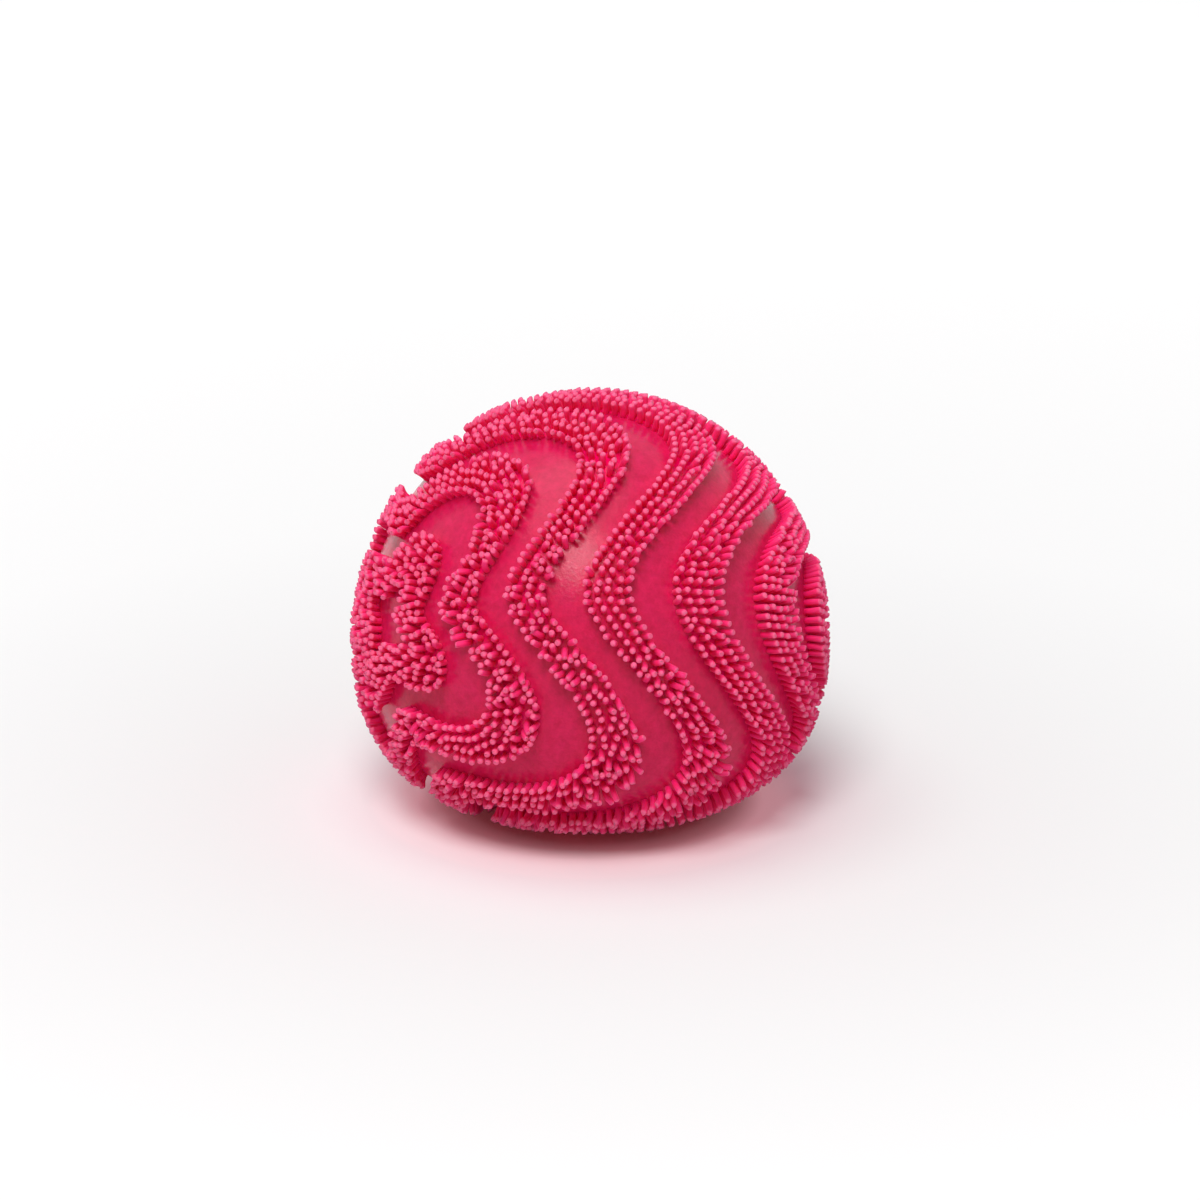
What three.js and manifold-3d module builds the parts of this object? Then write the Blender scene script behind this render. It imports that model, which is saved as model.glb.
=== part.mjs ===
// Soft sensory ball: a moulded rubber skin with wavy bands of bristles, slumped round a dough filling.
// Millimetres, +Z up. The origin is on the floor, under the middle of the ball.
import * as THREE from 'three';
import { mergeVertices } from 'three/addons/utils/BufferGeometryUtils.js';
import Module from 'manifold-3d';

const wasm = await Module();
wasm.setup();

// Outer face of the skin, from the middle of its widest level
const SKIN_RADIUS = 34.8;
const CROWN_RISE = 35.7;
const BELLY_DROP = 25.3;
// How square the two halves are: 2 is an ellipse, and more is flatter underneath
const CROWN_POWER = 2;
const BELLY_POWER = 2.8;

// The skin's wall: an outer layer that carries the bristles, and a lining
const BACKING = 0.8;
const LINING = 1.3;
const CLEARANCE = 0.3;

// Bristles, in rows that follow each band
const STRAND_LENGTH = 2.7;
const STRAND_WIDTH = 2;
const STRAND_PITCH = 6.8;
const ROWS_PER_BAND = 2;
const ROW_SPACING = 3.8;
// How much of the lowest bristle tips the floor takes off
const FLOOR_TRIM = 0.5;

// Axis that the bands run round: its near pole is turned from -X towards the front, and tilted up
const POLE_TURN = THREE.MathUtils.degToRad(28.6);
const POLE_TILT = THREE.MathUtils.degToRad(12);
// Waves in one round of a band, how far they swing at the middle of the ball, and where one starts
const WAVES = 4;
const WAVE_SWING = THREE.MathUtils.degToRad(16);
const WAVE_START = THREE.MathUtils.degToRad(32);
const BANDS_PER_ZONE = 2;
const ZONE_NAMES = ['bristles_left_end', 'bristles_left_side', 'bristles_right_side', 'bristles_right_end'];

// Stopper of the fill hole, at the far pole
const PLUG_CAP_RADIUS = 2.6;
const PLUG_CAP_RISE = 0.6;
const PLUG_SHOULDER_RADIUS = 1.8;
const PLUG_SHOULDER_RISE = 0.4;
const PLUG_STEM_RADIUS = 1.6;
const PLUG_BARB_RADIUS = 2.8;
const PLUG_BARB_LENGTH = 1.4;
const PLUG_TIP_RADIUS = 1.8;
const PLUG_SIDES = 16;

// Facets of the smooth faces, round the axis and across one zone of bands
const FACETS_ROUND = 40;
const FACETS_PER_ZONE = 4;
const MERGE_DISTANCE = 1e-4;

const liningDepth = BACKING + CLEARANCE;
const wallDepth = liningDepth + LINING;
const fillingDepth = wallDepth + CLEARANCE;
const middleHeight = BELLY_DROP + STRAND_LENGTH - FLOOR_TRIM;
const middle = new THREE.Vector3(0, 0, middleHeight);

// The pattern's own directions: along its axis to the near pole, to the front, and over the top
const nearPole = new THREE.Vector3(
  -Math.cos(POLE_TURN) * Math.cos(POLE_TILT),
  -Math.sin(POLE_TURN) * Math.cos(POLE_TILT),
  Math.sin(POLE_TILT),
);
const patternFront = new THREE.Vector3(0, -1, 0).projectOnPlane(nearPole).normalize();
const patternOver = new THREE.Vector3().crossVectors(nearPole, patternFront);

const zoneAngle = Math.PI / ZONE_NAMES.length;
const bandAngle = zoneAngle / BANDS_PER_ZONE;

function halfShape(height) {
  return height > 0 ? [CROWN_RISE, CROWN_POWER] : [BELLY_DROP, BELLY_POWER];
}

// Where a line from the middle in this direction leaves the skin
function skinPoint(direction) {
  const [rise, power] = halfShape(direction.z);
  const across = Math.hypot(direction.x, direction.y) / SKIN_RADIUS;
  const upright = Math.abs(direction.z) / rise;
  const reach = (across ** power + upright ** power) ** (-1 / power);
  return direction.clone().multiplyScalar(reach).add(middle);
}

function skinNormal(point) {
  const offset = point.clone().sub(middle);
  const [rise, power] = halfShape(offset.z);
  const radius = Math.hypot(offset.x, offset.y);
  const outward = (radius / SKIN_RADIUS) ** (power - 1) / SKIN_RADIUS;
  const upward = (Math.abs(offset.z) / rise) ** (power - 1) / rise;
  const sideways = radius > 0 ? outward / radius : 0;
  return new THREE.Vector3(offset.x * sideways, offset.y * sideways, Math.sign(offset.z) * upward).normalize();
}

// A point of the skin by its wave line, an angle from the near pole, and its angle round the axis
function wavePoint(line, around) {
  const polar = line - WAVE_SWING * Math.sin(line) * Math.cos(WAVES * (around - WAVE_START));
  const direction = nearPole.clone().multiplyScalar(Math.cos(polar));
  direction.addScaledVector(patternFront, Math.sin(polar) * Math.cos(around));
  direction.addScaledVector(patternOver, Math.sin(polar) * Math.sin(around));
  return skinPoint(direction);
}

// Bends a shape that was made on a true ball, with its poles along Y, to the slumped and waved one
function slump(geometry) {
  const positions = geometry.attributes.position;
  const vertex = new THREE.Vector3();
  for (let i = 0; i < positions.count; i += 1) {
    vertex.fromBufferAttribute(positions, i);
    const depth = SKIN_RADIUS - vertex.length();
    const line = vertex.angleTo(new THREE.Vector3(0, 1, 0));
    const point = wavePoint(line, Math.atan2(vertex.x, vertex.z));
    point.addScaledVector(skinNormal(point), -depth);
    positions.setXYZ(i, point.x, point.y, point.z);
  }
  return geometry;
}

function solidOf(geometry) {
  geometry.deleteAttribute('normal');
  geometry.deleteAttribute('uv');
  const merged = mergeVertices(geometry, MERGE_DISTANCE);
  const corners = Array.from(merged.index.array);
  const triangles = [];
  for (let i = 0; i < corners.length; i += 3) {
    const [a, b, c] = corners.slice(i, i + 3);
    if (a !== b && b !== c && c !== a) {
      triangles.push(a, b, c);
    }
  }
  const vertProperties = new Float32Array(merged.attributes.position.array);
  const triVerts = new Uint32Array(triangles);
  return new wasm.Manifold(new wasm.Mesh({ numProp: 3, vertProperties, triVerts }));
}

function meshOf(name, solid, material) {
  const { vertProperties, triVerts } = solid.getMesh();
  const geometry = new THREE.BufferGeometry();
  geometry.setAttribute('position', new THREE.BufferAttribute(new Float32Array(vertProperties), 3));
  geometry.setIndex(new THREE.BufferAttribute(new Uint32Array(triVerts), 1));
  geometry.computeVertexNormals();
  const mesh = new THREE.Mesh(geometry, material);
  mesh.name = name;
  return mesh;
}

// The whole ball at a depth under the skin's outer face
function ballSolid(depth) {
  const facets = FACETS_PER_ZONE * ZONE_NAMES.length;
  return solidOf(slump(new THREE.SphereGeometry(SKIN_RADIUS - depth, FACETS_ROUND, facets)));
}

// One row of bristles, as a closed curve on the skin
class BristleRow extends THREE.Curve {
  constructor(line) {
    super();
    this.line = line;
  }

  getPoint(share, target = new THREE.Vector3()) {
    return target.copy(wavePoint(this.line, share * Math.PI * 2));
  }

  // Angles round the axis where the strands' sides stand, two for each strand
  strandAngles(lead) {
    const count = Math.round(this.getLength() / STRAND_PITCH);
    const pitch = this.getLength() / count;
    const sides = [];
    for (let i = 0; i < count; i += 1) {
      const place = (i + lead) * pitch;
      sides.push(place - STRAND_WIDTH / 2, place + STRAND_WIDTH / 2);
    }
    return sides.map((distance) => this.getUtoTmapping(0, distance) * Math.PI * 2);
  }
}

// A body laid ring by ring: across its outer face, down a seam, back under it and up the other seam
class RingBody {
  constructor() {
    this.points = [];
    this.triangles = [];
  }

  addPoint(point) {
    this.points.push(point);
    return this.points.length - 1;
  }

  addRing(line, angles, depth) {
    const corners = angles.map((angle) => {
      const point = wavePoint(line, angle);
      return this.addPoint(point.addScaledVector(skinNormal(point), -depth));
    });
    return { corners, angles, depth };
  }

  // Joins two rings by a strip of triangles, and the outer ring steps first
  join(from, to) {
    const steps = (ring) => (ring.corners.length > 1 ? ring.corners.length : 0);
    const corner = (ring, i) => ring.corners[i % ring.corners.length];
    const angle = (ring, i) => ring.angles[i % steps(ring)] + (i < steps(ring) ? 0 : Math.PI * 2);
    const ahead = (ring, i) => (i < steps(ring) ? angle(ring, i + 1) : Infinity);
    const fromLeads = from.depth <= to.depth;
    let i = 0;
    let j = 0;
    while (i < steps(from) || j < steps(to)) {
      const difference = ahead(from, i) - ahead(to, j);
      if (difference < 0 || (difference === 0 && fromLeads)) {
        this.triangles.push(corner(from, i), corner(to, j), corner(from, i + 1));
        i += 1;
      } else {
        this.triangles.push(corner(from, i), corner(to, j), corner(to, j + 1));
        j += 1;
      }
    }
  }

  addQuad(a, b, c, d) {
    this.triangles.push(a, b, c, a, c, d);
  }

  // A strand stands on four corners of the skin, and each edge leaves along the skin's own normal
  addStrand(foot) {
    const tip = foot.map((index) => {
      const point = this.points[index];
      return this.addPoint(point.clone().addScaledVector(skinNormal(point), STRAND_LENGTH));
    });
    foot.forEach((corner, i) => {
      const next = (i + 1) % foot.length;
      this.addQuad(corner, foot[next], tip[next], tip[i]);
    });
    this.addQuad(...tip);
  }

  // A row: every other cell between its two rings carries a strand
  addStrands(near, far, isKept) {
    const count = near.corners.length;
    for (let i = 0; i < count; i += 1) {
      const next = (i + 1) % count;
      const cell = [near.corners[i], far.corners[i], far.corners[next], near.corners[next]];
      if (i % 2 === 0 && isKept(this.points[cell[0]])) {
        this.addStrand(cell);
      } else {
        this.addQuad(...cell);
      }
    }
  }

  toSolid() {
    const geometry = new THREE.BufferGeometry().setFromPoints(this.points);
    geometry.setIndex(this.triangles);
    return solidOf(geometry);
  }
}

// The plug stands on the skin at the far pole, and its profile starts at the top of its cap
const plugSeat = skinPoint(nearPole.clone().negate());
const plugAxis = skinNormal(plugSeat);

function plugSolid(grow) {
  const barbTop = -fillingDepth;
  const barbFoot = barbTop - PLUG_BARB_LENGTH;
  const profile = [
    new THREE.Vector2(0, PLUG_CAP_RISE + grow),
    new THREE.Vector2(PLUG_SHOULDER_RADIUS + grow, PLUG_SHOULDER_RISE + grow),
    new THREE.Vector2(PLUG_CAP_RADIUS + grow, 0),
    new THREE.Vector2(PLUG_CAP_RADIUS + grow, -BACKING - grow),
    new THREE.Vector2(PLUG_STEM_RADIUS + grow, -BACKING - grow),
    new THREE.Vector2(PLUG_STEM_RADIUS + grow, barbTop + grow),
    new THREE.Vector2(PLUG_BARB_RADIUS + grow, barbTop + grow),
    new THREE.Vector2(PLUG_TIP_RADIUS + grow, barbFoot - grow),
    new THREE.Vector2(0, barbFoot - grow),
  ];
  const plug = new THREE.LatheGeometry(profile.reverse(), PLUG_SIDES);
  plug.applyQuaternion(new THREE.Quaternion().setFromUnitVectors(new THREE.Vector3(0, 1, 0), plugAxis));
  plug.translate(plugSeat.x, plugSeat.y, plugSeat.z);
  return solidOf(plug);
}

function clearOfPlug(foot) {
  const offset = foot.clone().sub(plugSeat).projectOnPlane(plugAxis).length();
  const farSide = foot.clone().sub(middle).dot(plugAxis) > 0;
  return !farSide || offset > PLUG_CAP_RADIUS + CLEARANCE + STRAND_WIDTH;
}

const plugRoom = plugSolid(CLEARANCE);
const floorSize = 4 * SKIN_RADIUS;
const floor = solidOf(new THREE.BoxGeometry(floorSize, floorSize, floorSize).translate(0, 0, -floorSize / 2));

// A ring with no strands, which is a single point at a pole
function addPlainRing(body, line, depth) {
  const isPole = line === 0 || line === Math.PI;
  const angles = Array.from({ length: isPole ? 1 : FACETS_ROUND }, (_, i) => i / FACETS_ROUND * Math.PI * 2);
  return body.addRing(line, angles, depth);
}

function zoneSolid(zoneIndex) {
  const body = new RingBody();
  const seam = CLEARANCE / 2 / SKIN_RADIUS;
  const nearLine = zoneIndex === 0 ? 0 : zoneIndex * zoneAngle + seam;
  const farLine = zoneIndex === ZONE_NAMES.length - 1 ? Math.PI : (zoneIndex + 1) * zoneAngle - seam;
  const nearEdge = addPlainRing(body, nearLine, 0);
  let previous = nearEdge;
  for (let row = 0; row < BANDS_PER_ZONE * ROWS_PER_BAND; row += 1) {
    const rowInBand = row % ROWS_PER_BAND;
    const bandLine = zoneIndex * zoneAngle + (Math.floor(row / ROWS_PER_BAND) + 0.5) * bandAngle;
    const rowLine = bandLine + (rowInBand - (ROWS_PER_BAND - 1) / 2) * ROW_SPACING / SKIN_RADIUS;
    const angles = new BristleRow(rowLine).strandAngles((rowInBand + 0.5) / ROWS_PER_BAND);
    const halfWidth = STRAND_WIDTH / 2 / SKIN_RADIUS;
    const near = body.addRing(rowLine - halfWidth, angles, 0);
    const far = body.addRing(rowLine + halfWidth, angles, 0);
    body.join(previous, near);
    body.addStrands(near, far, clearOfPlug);
    previous = far;
  }
  const farEdge = addPlainRing(body, farLine, 0);
  body.join(previous, farEdge);
  previous = farEdge;
  for (let i = 0; i <= FACETS_PER_ZONE; i += 1) {
    const under = addPlainRing(body, THREE.MathUtils.lerp(farLine, nearLine, i / FACETS_PER_ZONE), BACKING);
    body.join(previous, under);
    previous = under;
  }
  body.join(previous, nearEdge);
  return body.toSolid().subtract(plugRoom).subtract(floor);
}

const skinRubber = new THREE.MeshStandardMaterial({ color: 0xcf2f5c, roughness: 0.5, metalness: 0 });
const bristleRubber = new THREE.MeshStandardMaterial({ color: 0xe94a79, roughness: 0.45, metalness: 0 });
const plugRubber = new THREE.MeshStandardMaterial({ color: 0xd93a67, roughness: 0.45, metalness: 0 });
const dough = new THREE.MeshStandardMaterial({ color: 0xd9c3b0, roughness: 0.9, metalness: 0 });

const ball = new THREE.Group();
ball.name = 'sensory_ball';
ball.add(meshOf('dough_filling', ballSolid(fillingDepth).subtract(plugRoom), dough));
const lining = ballSolid(liningDepth).subtract(ballSolid(wallDepth)).subtract(plugRoom);
ball.add(meshOf('skin', lining, skinRubber));
ZONE_NAMES.forEach((name, zoneIndex) => ball.add(meshOf(name, zoneSolid(zoneIndex), bristleRubber)));
ball.add(meshOf('fill_plug', plugSolid(0), plugRubber));

export default ball;
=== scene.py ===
import math

import bmesh
import bpy
import numpy as np
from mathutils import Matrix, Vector, noise


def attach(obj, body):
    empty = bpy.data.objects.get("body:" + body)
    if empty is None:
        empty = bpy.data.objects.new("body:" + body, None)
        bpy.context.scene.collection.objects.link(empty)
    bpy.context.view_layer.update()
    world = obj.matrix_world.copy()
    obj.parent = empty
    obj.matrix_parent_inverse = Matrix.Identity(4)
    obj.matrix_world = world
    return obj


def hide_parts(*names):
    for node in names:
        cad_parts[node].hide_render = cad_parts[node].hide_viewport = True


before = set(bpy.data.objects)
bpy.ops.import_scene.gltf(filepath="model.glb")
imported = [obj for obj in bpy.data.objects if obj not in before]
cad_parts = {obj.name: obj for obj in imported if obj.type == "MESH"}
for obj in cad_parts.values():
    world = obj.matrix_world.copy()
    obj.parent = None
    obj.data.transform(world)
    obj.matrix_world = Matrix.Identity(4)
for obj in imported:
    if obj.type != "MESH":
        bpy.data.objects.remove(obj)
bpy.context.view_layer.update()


# Skin
# A hollow ball of soft pink rubber, moulded in one piece with its bristles, with a round hole
# at one pole for filling. The filling's weight slumps it: round above its widest level, flattened below.
MM = 0.001
MIDDLE = np.array([0, 0, 27.5]) * MM
SKIN_RADIUS = 34.8 * MM
CROWN_RISE = 35.7 * MM
BELLY_DROP = 25.3 * MM
CROWN_POWER = 2.0
BELLY_POWER = 2.8
SKIN_WALL = 2.4 * MM
FILL_HOLE_RADIUS = 1.9 * MM
SKIN_SEGMENTS = 160
SKIN_RINGS = 100
TINY = 1e-9
POLE_TURN = math.radians(28.6)
POLE_TILT = math.radians(12)
near_pole = np.array([
    -math.cos(POLE_TURN) * math.cos(POLE_TILT),
    -math.sin(POLE_TURN) * math.cos(POLE_TILT),
    math.sin(POLE_TILT),
])
pattern_front = np.array([0, -1, 0]) + near_pole * near_pole[1]
pattern_front /= np.linalg.norm(pattern_front)
pattern_over = np.cross(near_pole, pattern_front)


def lengths(vectors):
    """The length of each vector of an array."""
    return np.linalg.norm(vectors, axis=-1)


def slumped(directions):
    """Places on the skin's outside that directions from its middle point to."""
    above = directions[:, 2] > 0
    power = np.where(above, CROWN_POWER, BELLY_POWER)
    level = np.hypot(directions[:, 0], directions[:, 1]) / SKIN_RADIUS
    height = np.abs(directions[:, 2]) / np.where(above, CROWN_RISE, BELLY_DROP)
    reach = (level ** power + height ** power) ** (-1 / power)
    return MIDDLE + directions * reach[:, None]


def outward(places):
    """The skin's outward normals at places on it."""
    offset = places - MIDDLE
    above = offset[:, 2] > 0
    power = np.where(above, CROWN_POWER, BELLY_POWER)
    rise = np.where(above, CROWN_RISE, BELLY_DROP)
    level = np.maximum(np.hypot(offset[:, 0], offset[:, 1]), TINY)
    sideways = (level / SKIN_RADIUS) ** (power - 1) / SKIN_RADIUS
    upward = np.sign(offset[:, 2]) * (np.abs(offset[:, 2]) / rise) ** (power - 1) / rise
    normals = np.column_stack([sideways * offset[:, 0] / level, sideways * offset[:, 1] / level, upward])
    return normals / lengths(normals)[:, None]


def places_of(mesh):
    """A mesh's vertices as an array."""
    places = np.empty(len(mesh.vertices) * 3)
    mesh.vertices.foreach_get("co", places)
    return places.reshape(-1, 3)


def put_places(mesh, places):
    """Moves a mesh's vertices to an array of places."""
    mesh.vertices.foreach_set("co", places.ravel())
    mesh.update()


def apply_modifier(piece, kind, **settings):
    """Adds a modifier to a piece and applies it."""
    bpy.ops.object.select_all(action="DESELECT")
    piece.select_set(True)
    bpy.context.view_layer.objects.active = piece
    bpy.ops.object.modifier_add(type=kind)
    modifier = piece.modifiers[-1]
    for name, value in settings.items():
        setattr(modifier, name, value)
    bpy.ops.object.modifier_apply(modifier=modifier.name)


bpy.ops.object.select_all(action="DESELECT")
bpy.ops.mesh.primitive_uv_sphere_add(segments=SKIN_SEGMENTS, ring_count=SKIN_RINGS, radius=1)
skin = bpy.context.object
skin.name = "skin_shell"
bpy.ops.object.mode_set(mode="EDIT")
bpy.ops.mesh.select_all(action="SELECT")
hole_level = -math.cos(FILL_HOLE_RADIUS / SKIN_RADIUS)
bpy.ops.mesh.bisect(plane_co=(0, 0, hole_level), plane_no=(0, 0, -1), clear_outer=True)
bpy.ops.object.mode_set(mode="OBJECT")
sphere = places_of(skin.data)
sphere /= lengths(sphere)[:, None]
put_places(skin.data, slumped(sphere @ np.array([pattern_front, pattern_over, near_pole])))
apply_modifier(skin, "SOLIDIFY", thickness=SKIN_WALL, offset=-1, use_even_offset=True)
bpy.ops.object.shade_smooth()

WAVES = 4
WAVE_SWING = math.radians(16)
WAVE_POWER = 0.85
WAVE_START = math.radians(32)
POLE_GAP = math.radians(2.6)
BANDS = 8
BAND_HALF = math.radians(4.9)
BAND_FADE = math.radians(1.5)
WAVE_ROUNDS = 12


def swung(spread, around):
    """How far the wave, and the wider gap around the near pole, turn a place away from that pole."""
    size = WAVE_SWING * np.sin(np.clip(spread, 0, math.pi)) ** WAVE_POWER
    swing = size * np.cos(WAVES * (around - WAVE_START))
    return POLE_GAP * np.clip(np.cos(spread), 0, 1) - swing


def wave_angles(places):
    """Angles of places on the skin from the near pole, with the wave taken out, and angles around it."""
    offset = places - MIDDLE
    polar = np.arccos(offset @ near_pole / lengths(offset))
    around = np.arctan2(offset @ pattern_over, offset @ pattern_front)
    spread = polar
    for _ in range(WAVE_ROUNDS):
        spread = polar - swung(spread, around)
    return spread, around


def from_band_middle(spread):
    """Signed angles from the middle line of the nearest band."""
    return spread % (math.pi / BANDS) - math.pi / BANDS / 2


# Inside the bands the skin between the strands is painted a stronger, deeper red: a painted glow that
# stands in for light shining through the strands and bouncing between them.
skin_spread, skin_around = wave_angles(places_of(skin.data))
inside = np.clip((BAND_HALF - np.abs(from_band_middle(skin_spread))) / BAND_FADE, 0, 1)
between = skin.data.attributes.new("painted_glow_between_strands", "FLOAT", "POINT")
between.data.foreach_set("value", inside)


SCATTER_SHARES = (1.0, 0.25, 0.4)
SCATTER_REACH = 0.8 * MM


def new_node(tree, kind, **sockets):
    """A node with values on the input sockets that are named."""
    made = tree.nodes.new(kind)
    for name, value in sockets.items():
        made.inputs[name.replace("_", " ")].default_value = value
    return made


def rubber_material(name, roughness, gloss, scatter):
    """A satin pink rubber with a soft glow below its surface, and its parts for more nodes."""
    material = bpy.data.materials.new(name)
    material.use_nodes = True
    tree = material.node_tree
    shader = tree.nodes["Principled BSDF"]
    shader.inputs["Roughness"].default_value = roughness
    shader.inputs["Specular IOR Level"].default_value = gloss
    shader.inputs["Subsurface Weight"].default_value = scatter
    shader.inputs["Subsurface Radius"].default_value = SCATTER_SHARES
    shader.inputs["Subsurface Scale"].default_value = SCATTER_REACH
    place = tree.nodes.new("ShaderNodeTexCoord").outputs["Object"]
    return material, tree, shader, place


def link_grain(tree, shader, place, scale, strength, depth):
    """Fine moulded grain that breaks up the gloss of a rubber."""
    grain = new_node(tree, "ShaderNodeTexNoise", Scale=scale, Detail=3.0, Roughness=0.6)
    bump = new_node(tree, "ShaderNodeBump", Strength=strength, Distance=depth)
    tree.links.new(place, grain.inputs["Vector"])
    tree.links.new(grain.outputs["Fac"], bump.inputs["Height"])
    tree.links.new(bump.outputs["Normal"], shader.inputs["Normal"])


def colour_ramp(tree, factor, *stops):
    """Colours in linear values at shares from 0 to 1 of a factor."""
    ramp = tree.nodes.new("ShaderNodeValToRGB")
    while len(ramp.color_ramp.elements) < len(stops):
        ramp.color_ramp.elements.new(1)
    for element, (share, colour) in zip(ramp.color_ramp.elements, stops):
        element.position = share
        element.color = (*colour, 1)
    tree.links.new(factor, ramp.inputs["Fac"])
    return ramp.outputs["Color"]


skin_rubber, tree, shader, place = rubber_material("skin_rubber", roughness=0.2, gloss=0.17, scatter=0.5)
mottle = new_node(tree, "ShaderNodeTexNoise", Scale=700.0, Detail=3.0, Roughness=0.8)
tree.links.new(place, mottle.inputs["Vector"])
skin_colour = colour_ramp(
    tree, mottle.outputs["Fac"],
    (0.3, (0.55, 0.006, 0.070)),
    (0.7, (0.72, 0.012, 0.104)),
)
painted_glow_between_strands = tree.nodes.new("ShaderNodeAttribute")
painted_glow_between_strands.attribute_name = "painted_glow_between_strands"
# Painted glow: between the strands the skin takes a stronger red in place of the light that shines through
# the strands and bounces between them.
glow = tree.nodes.new("ShaderNodeMix")
glow.data_type = "RGBA"
glow.inputs["B"].default_value = (0.88, 0.002, 0.14, 1)
tree.links.new(painted_glow_between_strands.outputs["Fac"], glow.inputs["Factor"])
tree.links.new(skin_colour, glow.inputs["A"])
tree.links.new(glow.outputs["Result"], shader.inputs["Base Color"])
link_grain(tree, shader, place, scale=2200.0, strength=1.0, depth=0.045 * MM)
skin.data.materials.append(skin_rubber)
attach(skin, "root")
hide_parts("skin")


# Bristles
# Thousands of soft strands stand in eight wavy bands, moulded with the skin and of the same rubber.
# Each has a rounded tip with a small dimple. They lean and cling together in patches, and those on the
# left are brushed forwards and up a little.
STRAND_SIDES = 8
STRAND_RADIUS = 0.48 * MM
STRAND_LENGTH = 2.7 * MM
STRAND_STEPS = (0.25, 0.55)
FOOT_SINK = 0.4 * MM
FOOT_FLARE = 1.5
TIP_ROUND = 0.33 * MM
DIMPLE_SLOPE = 0.09 * MM
DIMPLE_DEPTH = 0.025 * MM
END_FACING = 0.9


def pick_faces(piece, wanted):
    """Selects the faces of a piece in edit mode whose middle and normal pass a test."""
    bpy.ops.mesh.select_all(action="DESELECT")
    shape = bmesh.from_edit_mesh(piece.data)
    for face in shape.faces:
        face.select_set(wanted(face.calc_center_median(), face.normal))
    bmesh.update_edit_mesh(piece.data)


def is_top(middle, normal):
    """True for a face that closes the top of an upright piece."""
    return normal.z > END_FACING


def is_bottom(middle, normal):
    """True for a face that closes the bottom of an upright piece."""
    return normal.z < -END_FACING


bpy.ops.object.select_all(action="DESELECT")
bpy.ops.mesh.primitive_cylinder_add(
    vertices=STRAND_SIDES,
    radius=STRAND_RADIUS,
    depth=STRAND_LENGTH + FOOT_SINK,
    location=(0, 0, (STRAND_LENGTH - FOOT_SINK) / 2),
)
strand = bpy.context.object
strand.name = "strand"
bpy.ops.object.transform_apply(location=True)
bpy.ops.object.mode_set(mode="EDIT")
for share in STRAND_STEPS:
    bpy.ops.mesh.select_all(action="SELECT")
    bpy.ops.mesh.bisect(plane_co=(0, 0, share * STRAND_LENGTH), plane_no=(0, 0, 1))
pick_faces(strand, is_bottom)
bpy.ops.transform.resize(value=(FOOT_FLARE, FOOT_FLARE, 1), center_override=(0, 0, -FOOT_SINK))
pick_faces(strand, is_top)
bpy.ops.mesh.bevel(offset=TIP_ROUND, segments=2, affect="EDGES")
pick_faces(strand, is_top)
bpy.ops.mesh.inset(thickness=DIMPLE_SLOPE, depth=-DIMPLE_DEPTH)
bpy.ops.object.mode_set(mode="OBJECT")
bpy.ops.object.shade_smooth()
strand_places = places_of(strand.data)
along = strand.data.attributes.new("along", "FLOAT", "POINT")
along.data.foreach_set("value", np.clip(strand_places[:, 2] / STRAND_LENGTH, 0, 1))

PITCH_BY_BAND = np.array([1.28, 1.33, 1.37, 1.42, 1.48, 1.43, 1.40, 1.40]) * MM
EDGE_PITCHES = 0.62
BAND_SAMPLES = 4000
PLUG_MARGIN = 3.6 * MM
SETTLE_PITCHES = 1.3
SETTLE_STEP = 0.12 * MM
SETTLE_ROUNDS = 24
far_pole_place = slumped(-near_pole[None])[0]


def wave_places(spreads, around):
    """Places on the skin at angles from the near pole, swung by the wave, and at angles around it."""
    polar = spreads + swung(spreads, around)
    aside = np.cos(around)[:, None] * pattern_front + np.sin(around)[:, None] * pattern_over
    return slumped(np.cos(polar)[:, None] * near_pole + np.sin(polar)[:, None] * aside)


def band_roots(middle, pitch):
    """Where a band's strands stand: along both edges, and in lines between them pushed evenly apart."""
    around = np.linspace(0, 2 * math.pi, BAND_SAMPLES) + WAVE_START
    first = wave_places(np.full(BAND_SAMPLES, middle - BAND_HALF), around)
    across = wave_places(np.full(BAND_SAMPLES, middle + BAND_HALF), around) - first
    course = np.gradient(wave_places(np.full(BAND_SAMPLES, middle), around), axis=0)
    course /= lengths(course)[:, None]
    width = lengths(across - course * (across * course).sum(1)[:, None])
    steps = np.arange(0, width.max() - EDGE_PITCHES * pitch, pitch)
    shares = [step / width for step in steps] + [np.ones(BAND_SAMPLES)]
    limits = [width - EDGE_PITCHES * pitch - step for step in steps] + [width]
    roots = []
    for share, limit in zip(shares, limits):
        spreads = middle + BAND_HALF * (2 * share - 1)
        line = wave_places(spreads, around)
        run = np.concatenate([[0], np.cumsum(lengths(np.diff(line, axis=0)))])
        count = round(run[-1] / pitch)
        stops = np.arange(count) * run[-1] / count
        found = np.interp(stops, run, limit) > 0
        places = wave_places(np.interp(stops, run, spreads), np.interp(stops, run, around))
        roots.append(places[found])
    inner = np.concatenate(roots[1:-1])
    edges = np.concatenate([roots[0], roots[-1]])
    for _ in range(SETTLE_ROUNDS):
        gaps = inner[:, None] - np.concatenate([inner, edges])
        apart = np.maximum(lengths(gaps), TINY)[..., None]
        pushes = gaps / apart * np.clip(1 - apart / (SETTLE_PITCHES * pitch), 0, 1)
        aims = inner + SETTLE_STEP * pushes.sum(1) - MIDDLE
        inner = slumped(aims / lengths(aims)[:, None])
    roots = np.concatenate([inner, edges])
    return roots[lengths(roots - far_pole_place) > PLUG_MARGIN]


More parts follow.
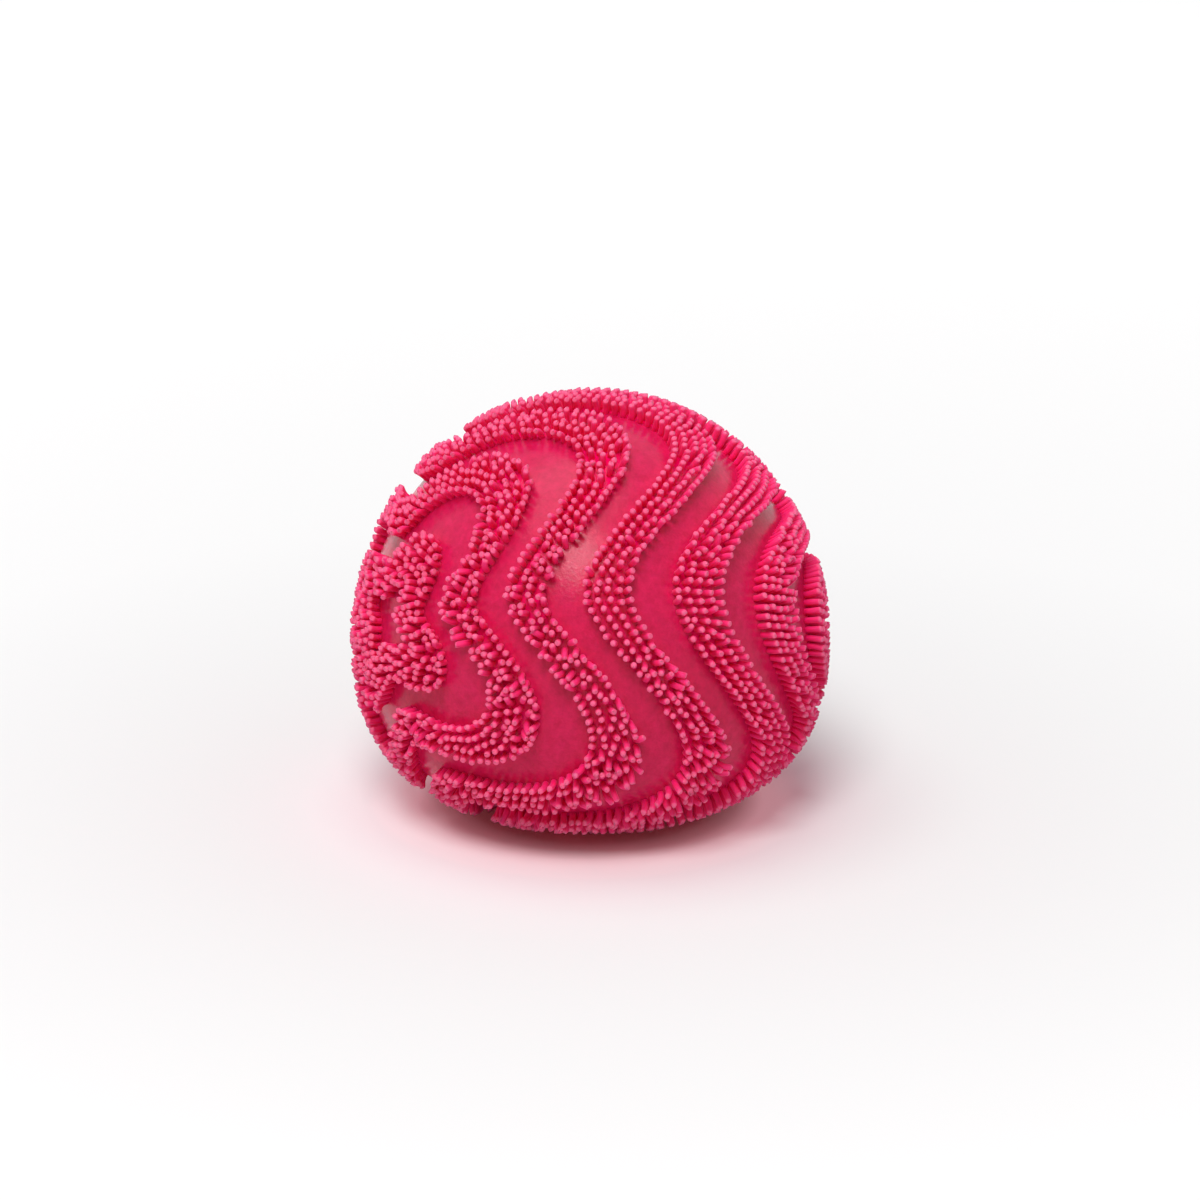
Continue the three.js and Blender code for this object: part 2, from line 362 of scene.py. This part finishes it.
MESS_BY_BAND = (0.9, 1.1, 1.1, 0.8, 0.35, 0.9, 1.0, 1.0)
MESS_REACH = 12 * MM
MESS_SHIFT = 3
MESS_BASE = 0.75
MESS_SWING = 1.5
LEAST_MESS = 0.12
MOST_MESS = 1.1
CALM_TOP = 70 * MM
CALM_FADE = 20 * MM
LEAN_REACH = 2.6 * MM
LEAN_SHIFT = 11
LEAN_SWING = 0.7 * MM
LEAN_JITTER = 0.4 * MM
CALM_JITTER = 0.2
LEAST_LEAN = 0.0001 * MM
MOST_LEAN = 1.6 * MM
STRAY_SHARE = 0.012
STRAY_LEAN = 1.4 * MM
TOUCH = 0.95 * MM
CLING_REACH = 1.7 * MM
CLING_STEP = 0.04 * MM
CLING_ROUNDS = 16
BRUSHED = np.array([0, -1.1, 0.45]) * MM
BRUSHED_TO = 22 * MM
BRUSHED_FADE = 28 * MM
SPLAY = 0.5 * MM
FLOOR_CLEAR = 0.01 * MM
DICE_SEED = 7
FIELD_SEED = 3
dice = np.random.default_rng(DICE_SEED)
noise.seed_set(FIELD_SEED)


def field(places, reach, shift):
    """A smooth random vector at each place, which varies over a distance."""
    return np.array([noise.noise_vector(Vector(p) / reach + Vector((shift, 0, 0))) for p in places])


def level_with(vectors, normals):
    """Vectors laid flat on the skin."""
    return vectors - normals * (vectors * normals).sum(1)[:, None]


def leans(roots, normals, mess):
    """How far each strand's tip leans: together with its neighbours, at random, and clinging to them."""
    patches = MESS_BASE + MESS_SWING * field(roots, MESS_REACH, MESS_SHIFT)[:, :1]
    patchy = np.clip(mess * patches, LEAST_MESS, MOST_MESS)
    patchy = patchy * np.clip((CALM_TOP - roots[:, 2:]) / CALM_FADE, 0, 1)
    lean = LEAN_SWING * patchy * field(roots, LEAN_REACH, LEAN_SHIFT)
    lean += dice.normal(0, LEAN_JITTER, lean.shape) * (CALM_JITTER + patchy)
    lean += BRUSHED * np.clip((BRUSHED_TO - roots[:, :1]) / BRUSHED_FADE, 0, 1)
    spread, around = wave_angles(roots)
    across = level_with(wave_places(spread + BAND_HALF, around) - roots, normals)
    edgeward = from_band_middle(spread)[:, None] / BAND_HALF
    lean += SPLAY * edgeward * across / lengths(across)[:, None]
    strays = dice.random(len(roots)) < STRAY_SHARE
    lean[strays] += dice.normal(0, STRAY_LEAN, (strays.sum(), 3))
    upright = roots + normals * STRAND_LENGTH
    tips = upright + level_with(lean, normals)
    cling = CLING_STEP * patchy * patchy.T
    for _ in range(CLING_ROUNDS):
        gaps = tips[None] - tips[:, None]
        apart = lengths(gaps) + np.eye(len(tips))
        nearness = np.clip((CLING_REACH - apart) / (CLING_REACH - TOUCH), 0, 1)
        moves = np.where(apart > TOUCH, cling * nearness, (apart - TOUCH) / 2)
        tips = tips + (gaps / apart[..., None] * moves[..., None]).sum(1)
    lean = level_with(tips - upright, normals)
    size = lengths(lean)[:, None]
    return lean * np.minimum(1, MOST_LEAN / np.maximum(size, TINY))


def bent_strands(roots, normals, lean):
    """The vertices of a band's strands, each bent in an arc that leans its tip as far as it should."""
    size = np.maximum(lengths(lean), LEAST_LEAN)[:, None]
    ahead = lean / size
    aside = np.cross(normals, ahead)
    share = size / STRAND_LENGTH
    # The turn of an arc whose end lies this share of its length aside, as the start of a series
    bend = 2 * share * (1 + share ** 2 / 3)
    x, y, z = strand_places.T
    turn = bend * np.maximum(z, 0) / STRAND_LENGTH
    radius = STRAND_LENGTH / bend
    rise = radius * np.sin(turn) + np.minimum(z, 0) - x * np.sin(turn)
    out = radius * (1 - np.cos(turn)) + x * np.cos(turn)
    places = roots[:, None] + normals[:, None] * rise[..., None] + ahead[:, None] * out[..., None]
    places += aside[:, None] * y[None, :, None]
    places[..., 2] = np.maximum(places[..., 2], FLOOR_CLEAR)
    return places.reshape(-1, 3)


bristle_rubber, tree, shader, place = rubber_material(
    "bristle_rubber", roughness=0.6, gloss=0.15, scatter=0.42,
)
height = tree.nodes.new("ShaderNodeAttribute")
height.attribute_name = "along"
# Painted light along each strand: a little darker towards the foot as painted shade, and paler at the very
# tip as a painted highlight.
strand_colour = colour_ramp(
    tree, height.outputs["Fac"],
    (0.0, (0.93, 0.002, 0.150)),
    (0.3, (0.96, 0.014, 0.175)),
    (0.87, (0.96, 0.042, 0.205)),
    (1.0, (0.99, 0.160, 0.315)),
)
tree.links.new(strand_colour, shader.inputs["Base Color"])
shader.inputs["Sheen Weight"].default_value = 0.12
shader.inputs["Sheen Roughness"].default_value = 0.5
shader.inputs["Sheen Tint"].default_value = (1.0, 0.45, 0.6, 1)
link_grain(tree, shader, place, scale=3500.0, strength=0.15, depth=0.03 * MM)

ZONES = ("bristles_left_end", "bristles_left_side", "bristles_right_side", "bristles_right_end")
BANDS_PER_ZONE = BANDS // len(ZONES)
for number in range(BANDS):
    roots = band_roots(math.pi * (number + 0.5) / BANDS, PITCH_BY_BAND[number])
    normals = outward(roots)
    bpy.ops.object.select_all(action="DESELECT")
    strand.select_set(True)
    bpy.context.view_layer.objects.active = strand
    bpy.ops.object.duplicate()
    band = bpy.context.object
    band.name = f"bristle_band_{number + 1}"
    apply_modifier(band, "ARRAY", count=len(roots), use_relative_offset=False)
    put_places(band.data, bent_strands(roots, normals, leans(roots, normals, MESS_BY_BAND[number])))
    band.data.materials.append(bristle_rubber)
    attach(band, "root")
    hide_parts(ZONES[number // BANDS_PER_ZONE])
bpy.data.objects.remove(strand)


# Filling
# A lump of pale kneaded dough fills the skin. Nothing fixes it: the skin presses on it all round,
# and the plug's inner end dents it.
FILLING_DIVISIONS = 6
FILLING_DEPTH = 2.7 * MM
FILLING_LUMP = 0.25 * MM
FILLING_LUMP_REACH = 9 * MM
FILLING_LUMP_SHIFT = 5
DENT_DEPTH = 1.8 * MM
DENT_RADIUS = 6 * MM
DENT_SLOPE = 1.6 * MM
bpy.ops.object.select_all(action="DESELECT")
bpy.ops.mesh.primitive_ico_sphere_add(subdivisions=FILLING_DIVISIONS, radius=1)
filling = bpy.context.object
filling.name = "dough_lump"
surface = slumped(places_of(filling.data))
lumps = field(surface, FILLING_LUMP_REACH, FILLING_LUMP_SHIFT)[:, :1] - 1
from_plug = lengths(surface - far_pole_place)[:, None]
dent = DENT_DEPTH * np.clip((DENT_RADIUS - from_plug) / DENT_SLOPE, 0, 1)
put_places(filling.data, surface - outward(surface) * (FILLING_DEPTH + dent - FILLING_LUMP * lumps))
bpy.ops.object.shade_smooth()
dough = bpy.data.materials.new("dough")
dough.use_nodes = True
tree = dough.node_tree
shader = tree.nodes["Principled BSDF"]
shader.inputs["Roughness"].default_value = 0.85
place = tree.nodes.new("ShaderNodeTexCoord").outputs["Object"]
flour = new_node(tree, "ShaderNodeTexNoise", Scale=220.0, Detail=5.0, Roughness=0.65)
tree.links.new(place, flour.inputs["Vector"])
dough_colour = colour_ramp(
    tree, flour.outputs["Fac"],
    (0.3, (0.58, 0.44, 0.33)),
    (0.7, (0.74, 0.60, 0.48)),
)
tree.links.new(dough_colour, shader.inputs["Base Color"])
link_grain(tree, shader, place, scale=900.0, strength=0.3, depth=0.2 * MM)
filling.data.materials.append(dough)
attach(filling, "root")
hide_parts("dough_filling")


# Fill plug
# A pink rubber stopper closes the fill hole, pressed in from outside at the far pole.
# Its low cap lies on the skin, and a barb behind the wall keeps it in.
PLUG_SIDES = 24
PLUG_STEM_RADIUS = 1.6 * MM
PLUG_STEM_LENGTH = 2.55 * MM
PLUG_CAP_RADIUS = 2.6 * MM
PLUG_CAP_EDGE = 0.3 * MM
PLUG_SHOULDER_RADIUS = 1.8 * MM
PLUG_SHOULDER_RISE = 0.25 * MM
PLUG_BARB_RADIUS = 2.6 * MM
PLUG_BARB_LENGTH = 1.3 * MM
PLUG_TIP_RADIUS = 1.8 * MM
PLUG_ROUND = 0.12 * MM


def is_stem_end(middle, normal):
    """True for the face that closes the stem's inner end, and not for the underside of the cap."""
    return is_bottom(middle, normal) and middle.z < -PLUG_STEM_LENGTH / 2


def draw_out(length, scale):
    """Extrudes the picked end of an upright piece, then widens or narrows it."""
    bpy.ops.mesh.extrude_region_move(TRANSFORM_OT_translate={"value": (0, 0, length)})
    bpy.ops.transform.resize(value=(scale, scale, 1))


bpy.ops.object.select_all(action="DESELECT")
bpy.ops.mesh.primitive_cylinder_add(
    vertices=PLUG_SIDES,
    radius=PLUG_STEM_RADIUS,
    depth=PLUG_STEM_LENGTH,
    location=(0, 0, -PLUG_STEM_LENGTH / 2),
)
plug = bpy.context.object
plug.name = "rubber_plug"
bpy.ops.object.transform_apply(location=True)
bpy.ops.object.mode_set(mode="EDIT")
pick_faces(plug, is_top)
draw_out(0, PLUG_CAP_RADIUS / PLUG_STEM_RADIUS)
draw_out(PLUG_CAP_EDGE, 1)
draw_out(PLUG_SHOULDER_RISE, PLUG_SHOULDER_RADIUS / PLUG_CAP_RADIUS)
pick_faces(plug, is_stem_end)
draw_out(0, PLUG_BARB_RADIUS / PLUG_STEM_RADIUS)
draw_out(-PLUG_BARB_LENGTH, PLUG_TIP_RADIUS / PLUG_BARB_RADIUS)
bpy.ops.object.mode_set(mode="OBJECT")
apply_modifier(plug, "BEVEL", width=PLUG_ROUND, segments=2, limit_method="ANGLE")
bpy.ops.object.shade_smooth()
plug_axis = outward(far_pole_place[None])[0]
plug_aside = np.cross(plug_axis, [0, 0, 1])
plug_aside /= lengths(plug_aside)
plug_turn = np.array([plug_aside, np.cross(plug_axis, plug_aside), plug_axis])
put_places(plug.data, far_pole_place + places_of(plug.data) @ plug_turn)
plug_rubber, tree, shader, place = rubber_material("plug_rubber", roughness=0.42, gloss=0.25, scatter=0.5)
mottle = new_node(tree, "ShaderNodeTexNoise", Scale=300.0, Detail=4.0, Roughness=0.6)
tree.links.new(place, mottle.inputs["Vector"])
plug_colour = colour_ramp(
    tree, mottle.outputs["Fac"],
    (0.3, (0.66, 0.012, 0.090)),
    (0.7, (0.75, 0.020, 0.120)),
)
tree.links.new(plug_colour, shader.inputs["Base Color"])
link_grain(tree, shader, place, scale=2600.0, strength=0.25, depth=0.05 * MM)
plug.data.materials.append(plug_rubber)
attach(plug, "root")
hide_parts("fill_plug")


# Studio
# A floor of pale paper, an even white surround and two round soft lamps, one in front and one overhead.
# The paper has a little light of its own, which is seen and not cast: white far off, and close to the ball
# a painted red and pink glow that stands in for the light the rubber throws back and passes through onto
# the paper.
FLOOR_SIZE = 6.0
bpy.ops.object.select_all(action="DESELECT")
bpy.ops.mesh.primitive_plane_add(size=FLOOR_SIZE)
floor = bpy.context.object
floor.name = "floor"
paper = bpy.data.materials.new("white_paper")
paper.use_nodes = True
tree = paper.node_tree
shader = tree.nodes["Principled BSDF"]
shader.inputs["Base Color"].default_value = (0.78, 0.776, 0.778, 1)
shader.inputs["Roughness"].default_value = 0.9
shader.inputs["Specular IOR Level"].default_value = 0.1
floor.data.materials.append(paper)


def seen_directly(tree):
    """1 for rays from the camera and for mirrored or passing ones, 0 for rays that only carry light."""
    rays = tree.nodes.new("ShaderNodeLightPath")
    total = rays.outputs["Is Camera Ray"]
    for name in ("Is Glossy Ray", "Is Transmission Ray"):
        either = tree.nodes.new("ShaderNodeMath")
        either.operation = "MAXIMUM"
        tree.links.new(total, either.inputs[0])
        tree.links.new(rays.outputs[name], either.inputs[1])
        total = either.outputs["Value"]
    return total


# The ramp's positions are distances in metres from the point under the ball's middle.
place = tree.nodes.new("ShaderNodeTexCoord").outputs["Object"]
from_ball = tree.nodes.new("ShaderNodeVectorMath")
from_ball.operation = "LENGTH"
tree.links.new(place, from_ball.inputs["Vector"])
# Painted light: a faint red glow under the ball and a pink ring round it, fading to a grey lift that grows
# to white far off.
floor_lift_and_painted_glow = colour_ramp(
    tree, from_ball.outputs["Value"],
    (0.0225, (0.07, 0.0, 0.002)),
    (0.0260, (0.36, 0.16, 0.185)),
    (0.0300, (0.32, 0.16, 0.185)),
    (0.0360, (0.15, 0.08, 0.10)),
    (0.0480, (0.075, 0.060, 0.065)),
    (0.0600, (0.07, 0.07, 0.07)),
    (0.1500, (0.17, 0.17, 0.17)),
    (0.6000, (0.37, 0.37, 0.37)),
)
tree.links.new(floor_lift_and_painted_glow, shader.inputs["Emission Color"])
tree.links.new(seen_directly(tree), shader.inputs["Emission Strength"])

SURROUND_LIGHT = 0.22
world = bpy.data.worlds.new("studio")
bpy.context.scene.world = world
world.use_nodes = True
tree = world.node_tree
surround = tree.nodes["Background"]
surround.inputs["Color"].default_value = (1, 1, 1, 1)
surround.inputs["Strength"].default_value = SURROUND_LIGHT
backdrop = tree.nodes.new("ShaderNodeBackground")
backdrop.inputs["Color"].default_value = (1, 1, 1, 1)
blend = tree.nodes.new("ShaderNodeMixShader")
tree.links.new(seen_directly(tree), blend.inputs["Fac"])
tree.links.new(surround.outputs["Background"], blend.inputs[1])
tree.links.new(backdrop.outputs["Background"], blend.inputs[2])
tree.links.new(blend.outputs["Shader"], tree.nodes["World Output"].inputs["Surface"])

LAMP_DISTANCE = 2.5


def softbox(name, size, power, elevation, turn):
    """A round soft lamp that shines on the ball from above, turned from its front towards its right."""
    lamp_data = bpy.data.lights.new(name, "AREA")
    lamp_data.shape = "DISK"
    lamp_data.size = size
    lamp_data.energy = power
    lamp = bpy.data.objects.new(name, lamp_data)
    bpy.context.collection.objects.link(lamp)
    to_lamp = Vector((
        math.cos(elevation) * math.sin(turn),
        -math.cos(elevation) * math.cos(turn),
        math.sin(elevation),
    ))
    lamp.location = Vector(MIDDLE) + to_lamp * LAMP_DISTANCE
    lamp.rotation_euler = (-to_lamp).to_track_quat("-Z", "Y").to_euler()


softbox("front_softbox", size=1.1, power=35.0, elevation=math.radians(54), turn=math.radians(-10))
softbox("top_softbox", size=2.2, power=31.0, elevation=math.radians(80), turn=math.radians(-80))

CAMERA_LENS = 115.2
CAMERA_SENSOR = 36
CAMERA_PLACE = (1.56 * MM, -569.1 * MM, 217.7 * MM)
CAMERA_TILT = math.radians(72)
camera_data = bpy.data.cameras.new("camera")
camera_data.lens = CAMERA_LENS
camera_data.sensor_width = CAMERA_SENSOR
camera = bpy.data.objects.new("camera", camera_data)
bpy.context.collection.objects.link(camera)
camera.location = CAMERA_PLACE
camera.rotation_euler = (CAMERA_TILT, 0, 0)
bpy.context.scene.camera = camera
bpy.context.scene.view_settings.view_transform = "Standard"
